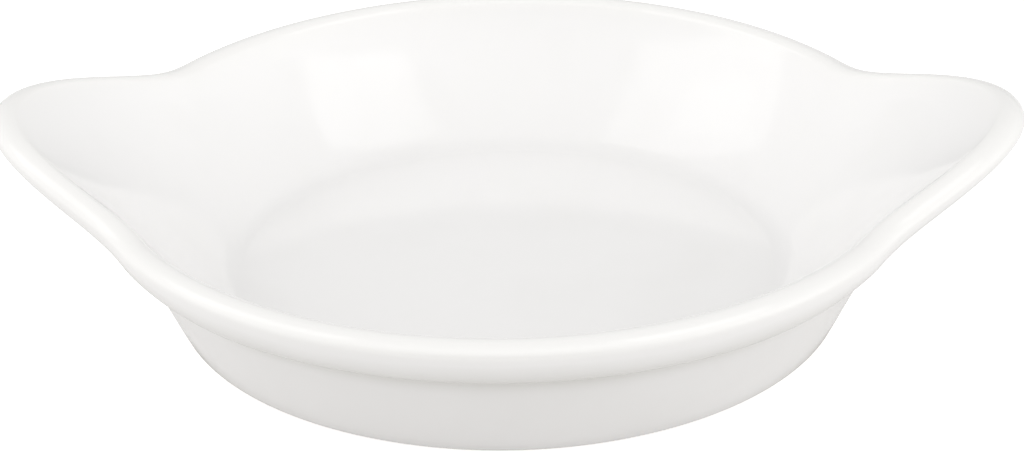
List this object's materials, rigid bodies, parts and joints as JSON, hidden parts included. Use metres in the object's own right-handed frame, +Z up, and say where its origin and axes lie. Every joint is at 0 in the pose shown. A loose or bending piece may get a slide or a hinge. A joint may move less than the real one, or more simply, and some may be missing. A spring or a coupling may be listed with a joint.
{
  "type": "round eared serving dish",
  "caption": "Shallow round glazed stoneware dish with a rolled rim drawn out into lifted ears for carrying, for baking and serving one portion.",
  "frame": {"origin": "middle of the foot ring, on the plane of the table", "axes": "+X through the middles of both ears, +Y across the dish, +Z up out of the dish"},
  "size_m": [0.191, 0.156, 0.0382],
  "materials": {
    "fired_clay": "bare fired stoneware, ground smooth on the foot ring",
    "white_glaze": "glossy opaque white glaze"
  },
  "bodies": {
    "root": {"clay_body": "fired_clay", "glaze_coat": "white_glaze", "underside_glaze": "white_glaze"}
  },
  "joints": []
}
